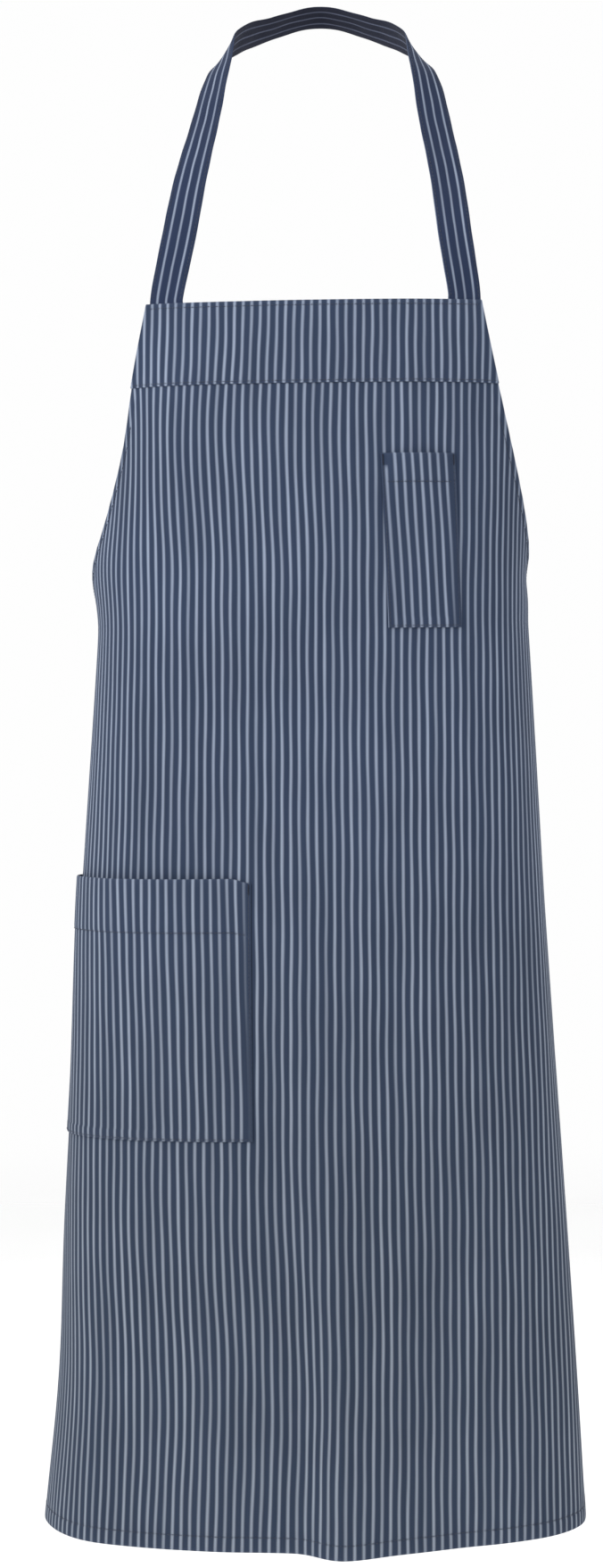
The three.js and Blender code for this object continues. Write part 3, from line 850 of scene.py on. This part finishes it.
def panel_seams():
    across = np.linspace(-1, 1, 200)
    band_edge = edge_at(BAND_DEPTH) - STITCH_INSET
    seam("bib_band_stitches", np.stack([across * band_edge, 0 * across + BAND_DEPTH - STITCH_INSET], -1),
         BAND_OUT - 0.10 * MM, "bib_band_seam")
    seam("bib_top_stitches", np.stack([across * (BIB_HALF_WIDTH - 3 * MM), 0 * across + 4 * MM], -1),
         BAND_OUT - 0.05 * MM, "bib_top_stitch")
    hem = across * (PANEL_HALF_WIDTH - STITCH_INSET)
    seam("bottom_hem_stitches", np.stack([hem, bottom_at(hem) - BOTTOM_HEM + STITCH_INSET], -1),
         -0.10 * MM, "bottom_hem_stitch")
    for side, turn in SIDES:
        edge = side_path(SIDE_HEM - STITCH_INSET, 60) * turn
        seam(f"{side}_side_stitches", edge, -0.10 * MM, f"{side}_side_stitch")
        arm = arm_path(ARMHOLE_HEM - STITCH_INSET, 0.262, 0.97, 80) * turn
        seam(f"{side}_armhole_stitches", arm, -0.10 * MM, f"{side}_armhole_stitch")


# ---- Pockets ----
class Pocket:
    """A patch pocket: sewn down its sides and bottom, open along its hemmed top edge."""

    def __init__(self, name, material, cells, **sizes):
        """The sizes are in millimetres.

        left, top: the mouth's right-hand end. width, height: of the cloth. drift: how far the bottom
        lies to the left of the mouth. mouth: depth of its hem. bulge: how far the mouth gapes. lean:
        how far the stripes lean. plain: width left dark at the left edge. dip: drop of the mouth's
        left corner.
        """
        self.name, self.material = name, material
        self.columns, self.rows = cells
        for key, value in sizes.items():
            setattr(self, key, value * MM)

    def place(self, over, down):
        """Where a place on the pocket's own cloth lies on the panel."""
        corner = smooth((over - self.width) / (17 * MM) + 1) * (1 - down / self.height) ** 2
        return self.left + over + self.drift * down / self.height, self.top + down + self.dip * corner

    def off_panel(self, over, down, layers=True):
        """Height of the pocket's outer face above the panel."""
        sewn = 3 * MM
        share = np.clip((over - sewn) / (self.width - 2 * sewn), 0, 1)
        open_share = smooth(1 - down / (self.height - sewn))
        stand = self.bulge * (4 * share * (1 - share)) ** 0.8 * open_share**1.4
        edge = np.minimum(np.minimum(over, self.width - over), self.height - down)
        turned = 0.55 * MM * smooth((9 * MM - edge) / (1.5 * MM))
        turned = np.maximum(turned, 0.55 * MM * smooth((self.mouth - down) / (1.2 * MM)))
        dent = groove(edge, 1.6 * MM, 0.9 * MM, 0.30 * MM, 0.12 * MM)
        line = -0.30 * MM * bell(down, self.mouth - 1 * MM, 1.1 * MM)
        slack = 0.5 * MM * np.sin(over * 95 + 3 * down) * open_share * smooth(edge / (12 * MM))
        return 1.15 * MM + stand + (turned + dent + line + slack if layers else 0)

    def build(self):
        fine = np.array([0, 0.4, 1.0, 1.6, 2.2, 3.2, 4.6, 7.5, 9.0, 10.5]) * MM
        middle = np.linspace(fine[-1], self.width - fine[-1], self.columns)[1:-1]
        over = np.concatenate([fine, middle, (self.width - fine)[::-1]])
        mouth = self.mouth + np.array([-4, -2.2, -1.4, -0.6, 0.2, 1.2, 3]) * MM
        first = np.array([0, 0.5, 1.2]) * MM
        top = np.concatenate([first, np.linspace(2.5 * MM, mouth[0], 9)[:-1], mouth])
        low = np.linspace(mouth[-1], self.height - fine[-1], self.rows)[1:-1]
        down = np.concatenate([top, low, (self.height - fine)[::-1]])
        over, down = np.meshgrid(over, down)
        across, below = self.place(over, down)
        height = self.off_panel(over, down)
        edge = np.minimum(np.minimum(over, self.width - over), np.minimum(self.height - down, down))
        height = height - 0.45 * MM * np.exp(-edge / (0.45 * MM))
        outer = on_cloth(across, below, height)
        inner = on_cloth(across, below, np.maximum(height - 0.85 * MM, 0.12 * MM))
        leaning = over - self.lean * down / self.height
        uv = np.stack([leaning + 0.7 * waver(across + 0.2, below * 1.1), down], -1)
        cloth = thin_solid(f"{self.name}_cloth", outer, inner, uv, self.material, edge_wear(edge))
        self.mask_stripes(cloth, over, down)
        finish_piece(cloth, "apron", "striped_cloth", self.name)
        self.inner_hem()
        self.seams()

    def mask_stripes(self, cloth, over, down):
        """Dark places: the left edge, and on a drifting pocket the mouth's right corner too."""
        margin = smooth((over - self.width + self.plain) / (1.5 * MM))
        corner = smooth((9 * MM - over) / (2 * MM)) * smooth((12 * MM - down) / (2 * MM)) * (self.drift > 0)
        point_values(cloth.data, "plain", np.maximum(margin * 0.92, corner))

    def inner_hem(self):
        """The folded-in layer behind the mouth."""
        reach = np.linspace(0.10, 0.90, 40) * self.width
        over, down = np.meshgrid(reach, np.linspace(0.6 * MM, self.mouth, 14))
        across, below = self.place(over, down)
        base = self.off_panel(over, down, layers=False) - 0.95 * MM
        roll = 0.25 * MM * np.exp(-down / (1 * MM))
        outer = on_cloth(across, below, np.maximum(base, 0.62 * MM) - roll)
        inner = on_cloth(across, below, np.maximum(base - 0.5 * MM, 0.12 * MM))
        uv = np.stack([over, down], -1)
        hem = thin_solid(f"{self.name}_hem_fold", outer, inner, uv, HEM_CLOTH, edge_wear(down))
        return finish_piece(hem, "apron", "striped_cloth", f"{self.name}_hem")

    def seams(self):
        """The thread down the sides and along the bottom, across the mouth's hem, and at its corners."""
        inset, start = 1.6 * MM, 1 * MM
        far, bottom = self.width - inset, self.height - inset
        self.seam_line("stitches", [(inset, start), (inset, bottom), (far, bottom), (far, start)], "seam")
        margin, line = 4 * MM, self.mouth - 1 * MM
        self.seam_line("mouth_stitches", [(margin, line), (self.width - margin, line)], "hem_stitch")
        self.tack("right", inset)
        self.tack("left", far)

    def seam_line(self, name, path, node):
        path = dense(path, 1 * MM)
        across, below = self.place(*path.T)
        points = on_cloth(across, below, self.off_panel(*path.T) + 0.02 * MM)
        row = stitches(f"{self.name}_{name}", points, cloth_normal(across, below))
        finish_piece(row, "apron", "thread", f"{self.name}_{node}")

    def tack(self, side, over):
        """A bar tack: close stitches laid side by side over the pocket's top corner."""
        down = np.linspace(1.0, 9.5, 2) * MM
        across, below = self.place(np.full(2, over), down)
        out = self.off_panel(np.full(2, over), down).max() + 0.25 * MM
        points = dense(on_cloth(across, below, out), 0.5 * MM)
        normals = np.repeat(cloth_normal(across[:1], below[:1]), len(points), 0)
        bar = stitches(f"{self.name}_{side}_bar_tack", points, normals,
                       pitch=0.42 * MM, length=0.36 * MM, radius=0.55 * MM)
        finish_piece(bar, "apron", "thread", f"{self.name}_{side}_tack")


# ---- Neck strap ----
STRAP_ACROSS = BIB_HALF_WIDTH - STRAP_WIDTH / 2
STRAP_CENTRE_OUT = -2.1 * MM
STRAP_FOOT = 4 * MM
NECK_SWAY = 6 * MM
RIGHT_SHIFT = 2.6 * MM  # how much nearer the middle the strap's right leg lies
COLLAR = np.array([0, -math.cos(math.radians(29)), math.sin(math.radians(29))])
SHOULDER_FLIP = math.radians(29)  # the quick turn where the strap lies over each shoulder
SHOULDER_EASE = math.radians(12)  # how much flatter the strap lies on the left of the chest
SHOULDER = np.array([[112.5, -145, -201], [105, -131, -153], [95.5, -109, -106], [85, -84, -56],
                     [72.5, -54, -31], [46, -19, -13.5]]) * MM
STRAP_SAMPLES = 420
STRIP_SEAM = 11.9 * MM  # how far the edge thread of the strap and the ties lies from their middle


def edge_roll(widths):
    """Share of a sewn strip's thickness that is left near its two folded edges."""
    return 1 - np.exp(-(STRAP_WIDTH / 2 - np.abs(widths)) / (0.35 * MM))


def seam_dent(widths):
    """How deep the edge thread pulls into a sewn strip."""
    return 0.22 * MM * bell(np.abs(widths), STRIP_SEAM, 0.8 * MM)


def sewn_strip(name, centre, wide, out, widths, run, relief, hem=0.0, wander=0.0, back=None):
    """A strip of doubled cloth along a path, with both its edges stitched.

    relief moves both faces, hem sinks the outer one, and wander is how far the stripes wander.
    """
    roll, dent = STRAP_THICKNESS / 2 * edge_roll(widths), seam_dent(widths)
    base = centre[:, None] + wide[:, None] * widths[None, :, None]
    outer = base + out[:, None] * (roll - dent - hem + relief)[..., None]
    inner = base + out[:, None] * (0.5 * dent - roll + relief)[..., None]
    across, down = np.meshgrid(widths, run)
    uv = np.stack([across + wander * waver(across, down), down], -1)
    wear = edge_wear(STRAP_WIDTH / 2 - np.abs(across))
    return thin_solid(name, outer, inner, uv, STRAP_CLOTH, wear, back)


def rounded_path(points, samples):
    """A smooth curve through the points (centripetal Catmull-Rom), evenly resampled."""
    points = np.asarray(points, float)
    knots = np.concatenate([[0], np.cumsum(np.linalg.norm(np.diff(points, axis=0), axis=1) ** 0.5)])
    slope = np.gradient(points, knots, axis=0)
    fine = []
    for k in range(len(points) - 1):
        h = knots[k + 1] - knots[k]
        t = np.linspace(0, 1, 60, endpoint=k == len(points) - 2)[:, None]
        fine.append((2 * t**3 - 3 * t**2 + 1) * points[k] + (t**3 - 2 * t**2 + t) * h * slope[k]
                    + (3 * t**2 - 2 * t**3) * points[k + 1] + (t**3 - t**2) * h * slope[k + 1])
    fine = np.concatenate(fine)
    run = travelled(fine)
    return resampled(np.linspace(0, run[-1], samples), run, fine), run[-1]


def strap_frames():
    """Centre, inward and outward directions along the neck strap, from sewn end to sewn end."""
    legs = []
    for sign, shift in ((1, 0), (-1, RIGHT_SHIFT)):
        depths = np.array([STRAP_END, 0.55 * STRAP_END, 0.1 * STRAP_END, -STRAP_FOOT])
        sewn = on_cloth(sign * (STRAP_ACROSS - shift), depths, STRAP_CENTRE_OUT)
        shoulder = SHOULDER * (sign, 1, 1)
        shoulder[:, 0] += shift * smooth(-shoulder[:, 2] / (60 * MM))
        legs.append(np.concatenate([sewn, shoulder]))
    points = np.concatenate([legs[0], [[0, 0.7 * MM, 1.4 * MM]], legs[1][::-1]])
    centre, length = rounded_path(points, STRAP_SAMPLES)
    part = np.linspace(0, 1, STRAP_SAMPLES)
    sewn_part = (STRAP_END + STRAP_FOOT) / length
    height = np.clip((1 - np.abs(2 * part - 1)) / 2 - sewn_part, 0, 1) / (0.5 - sewn_part)
    along = unit(np.gradient(centre, axis=0))
    side = np.where(part < 0.5, -1.0, 1.0)
    flip = smooth((height - 0.60) / 0.12) - smooth((height - 0.74) / 0.26)
    flat_share = bell(height, 0.48, 0.16) * (part < 0.5)
    turn = np.pi / 2 * height**1.4 + SHOULDER_FLIP * flip - SHOULDER_EASE * flat_share
    foot_angle = np.where(part < 0.5, angle_at(np.array(STRAP_ACROSS), np.array(0.0)),
                          -angle_at(np.array(RIGHT_SHIFT - STRAP_ACROSS), np.array(0.0)))
    square = smooth(height / 0.22)[:, None]
    flat = np.stack([side * np.cos(foot_angle), -np.sin(foot_angle), 0 * side], -1)
    level = np.stack([side, 0 * side, 0 * side], -1)
    start = flat * (1 - square) + level * square
    inward = start * np.cos(turn)[:, None] + COLLAR * np.sin(turn)[:, None]
    inward = unit(inward - along * (inward * along).sum(1, keepdims=True))
    centre[:, 0] += NECK_SWAY * np.sin(np.pi / 2 * height)
    return centre, inward, np.cross(along, inward), length, height


def neck_strap():
    centre, inward, outward, length, height = strap_frames()
    half = np.array([3.2, 6.4, 9.6, 11.2, 11.9, 13, 13.7, 14])
    widths = np.concatenate([-half[::-1], [0], half]) * MM
    along = np.linspace(0, length, len(centre))
    wave = 0.25 * MM * np.sin(along * 210)[:, None] * np.cos(widths * 180)[None]
    cup = 0.5 * MM * (widths / widths[-1])[None] ** 2 * height[:, None]
    # Its inner face gets the darker painted-shade copy of the strap cloth.
    strap = sewn_strip("neck_strap_cloth", centre, inward, outward, widths, along, wave - cup,
                       wander=0.4, back=STRAP_PAINTED_SHADE)
    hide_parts("neck_strap", "left_strap_end", "right_strap_end")
    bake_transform(strap)
    free = slice(int(0.055 * len(centre)), int(0.945 * len(centre)))
    seam_out = outward * (STRAP_THICKNESS / 2 - 0.2 * MM - 0.36 * MM * height[:, None])
    for name, place in (("inner", STRIP_SEAM), ("outer", -STRIP_SEAM)):
        points = centre + inward * place + seam_out
        row = stitches(f"neck_strap_{name}_stitches", points[free], outward[free])
        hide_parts(f"neck_strap_{name}_seam")
        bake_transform(row)


# ---- Ties ----
TIE_BELOW = ARMHOLE_DEPTH + STRAP_WIDTH / 2
TIE_STUB = 28 * MM  # how far the sewn end reaches past the panel's edge
TIE_GAP = 0.65 * MM  # between the hanging tie and its sewn end
TIE_TWIST = math.radians(16)
TIE_HALF = np.array([4, 8, 11.2, 11.9, 13, 13.7, 14])
TIE_WIDTHS = np.concatenate([-TIE_HALF[::-1], [0], TIE_HALF]) * MM


def tie_frame(side, sign):
    """A tie's hinge point, and the backward and outward directions of its flat hinge plane."""
    low, high = (np.array(c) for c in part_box(f"{side}_tie"))
    hinge = next(j for j in frame["joints"] if j["name"] == f"{side}_tie_swing")
    face = sign * unit(np.array(hinge["axis"]))
    pivot = np.array([*(low + high)[:2] / 2, high[2]])
    return pivot, sign * np.array([-face[1], face[0], 0]), face


def sewn_tie_end(side, sign):
    """The sewn end behind the panel, with a short stub past its edge that the tie hangs from."""
    pivot, back, face = tie_frame(side, sign)
    edge = on_cloth(sign * PANEL_HALF_WIDTH, TIE_BELOW, STRAP_CENTRE_OUT)
    gap = float(np.linalg.norm((pivot - edge)[:2]))
    reach = np.concatenate([np.linspace(-TIE_END, 0, 26), np.linspace(0.8 * MM, TIE_STUB, 25)])
    tall = TIE_WIDTHS[None] * np.ones((len(reach), 1))
    chop = np.clip(reach - STRAP_WIDTH / 2, 0, None)[:, None]
    tall = np.maximum(tall, chop - STRAP_WIDTH / 2)
    across = sign * (PANEL_HALF_WIDTH + np.minimum(reach, 0))
    sewn = on_cloth(across[:, None] + 0 * tall, TIE_BELOW + tall, STRAP_CENTRE_OUT)
    sewn = sewn + back * np.clip(reach, 0, None)[:, None, None]
    flat = pivot + back * (reach - gap)[:, None, None] + np.array([0, 0, -1]) * tall[..., None]
    past = smooth(reach / gap)[:, None, None]
    normal = cloth_normal(across, TIE_BELOW + 0 * across)[:, None] * (1 - past) + face * past
    base = sewn * (1 - past) + flat * past
    thick = normal * (STRAP_THICKNESS / 2 * edge_roll(TIE_WIDTHS))[None, :, None]
    uv = np.stack([tall, reach[:, None] + 0 * tall], -1)
    unworn = np.zeros(tall.shape)
    stub = thin_solid(f"{side}_tie_sewn_end", base + thick, base - thick, uv, STRAP_CLOTH, unworn)
    finish_piece(stub, "apron", "strap_cloth", f"{side}_tie_end")


def hanging_tie(side, sign):
    """The tie itself, lying against its stub and swaying and twisting a little on its way down."""
    pivot, back, face = tie_frame(side, sign)
    end = TIE_LENGTH - np.array([12.5, 11.2, 10, 6, 2, 0.8, 0]) * MM
    drop = np.concatenate([np.array([-0.3, 0, 0.6]) * MM, np.linspace(2 * MM, end[0] - 1.5 * MM, 170), end])
    share = drop / TIE_LENGTH
    free = smooth(share * 4)
    sway = free * (4.5 * np.sin(share * 7.4 + 0.4) + 1.5 * np.sin(share * 17)) * MM
    twist = TIE_TWIST * free * np.sin(share * 5.2 + (0.5 if sign > 0 else 1.6))
    lie = face * (sway - STRAP_THICKNESS - TIE_GAP)[:, None]
    middle = pivot + lie - np.array([0, 0, 1.0]) * drop[:, None]
    wide = back * np.cos(twist)[:, None] + face * np.sin(twist)[:, None]
    out = face * np.cos(twist)[:, None] - back * np.sin(twist)[:, None]
    wave = 0.3 * MM * (free * np.sin(drop * 160))[:, None] * np.cos(TIE_WIDTHS * 170)[None]
    hem = 0.25 * MM * bell(drop, TIE_LENGTH - 11.2 * MM, 0.9 * MM)[:, None]
    tie = sewn_strip(f"{side}_tie_cloth", middle, wide, out, TIE_WIDTHS, drop, wave, hem)
    finish_piece(tie, f"{side}_tie", "strap_cloth", f"{side}_tie")
    sewn = slice(2, -len(end))
    top_face = middle + out * (STRAP_THICKNESS / 2 - 0.2 * MM)
    rows = [(top_face + wide * place)[sewn] for place in (STRIP_SEAM, -STRIP_SEAM)]
    thread = stitches(f"{side}_tie_stitches", np.concatenate([rows[0], rows[1][::-1]]),
                      np.concatenate([out[sewn], out[sewn][::-1]]))
    finish_piece(thread, f"{side}_tie", "thread", f"{side}_tie_seam")


def box_stitches(name, corners, turn, node):
    """A box of stitches with a cross inside it, seen from behind."""
    left, right, top, bottom = corners
    loop = [(left, top), (right, top), (right, bottom), (left, bottom), (left, top), (right, bottom),
            (right, top), (left, bottom)]
    out = STRAP_CENTRE_OUT - STRAP_THICKNESS / 2 - 0.05 * MM
    seam(name, np.array(loop) * turn, out, node, inside=True)


def sewn_boxes():
    inset = 3 * MM
    half = STRAP_WIDTH / 2 - inset
    top, bottom = ARMHOLE_DEPTH + inset, ARMHOLE_DEPTH + STRAP_WIDTH - inset
    for side, turn in SIDES:
        middle = STRAP_ACROSS - (RIGHT_SHIFT if side == "right" else 0)
        strap_end = (middle - half, middle + half, 18 * MM, STRAP_END - inset)
        box_stitches(f"{side}_strap_box_stitches", strap_end, turn, f"{side}_strap_box_stitch")
        tie_end = (PANEL_HALF_WIDTH - TIE_END + inset, PANEL_HALF_WIDTH - 5 * MM, top, bottom)
        box_stitches(f"{side}_tie_box_stitches", tie_end, turn, f"{side}_tie_box_stitch")


# ---- Build ----
camera_and_light()
floor()
panel = apron_panel()
bib_band()
folds = hems()
panel_seams()
Pocket("bib_pocket", BIB_POCKET_CLOTH, (26, 34), left=53.5, width=60, top=125.5, height=139,
       drift=5.5, mouth=24, bulge=4, lean=2.2, plain=8, dip=0).build()
Pocket("hip_pocket", HIP_POCKET_CLOTH, (60, 42), left=-255, width=205, top=462, height=210,
       drift=0, mouth=44, bulge=6, lean=2, plain=5.5, dip=3.6).build()
neck_strap()
sewn_boxes()
for side, sign in (("left", 1), ("right", -1)):
    sewn_tie_end(side, sign)
    hanging_tie(side, sign)
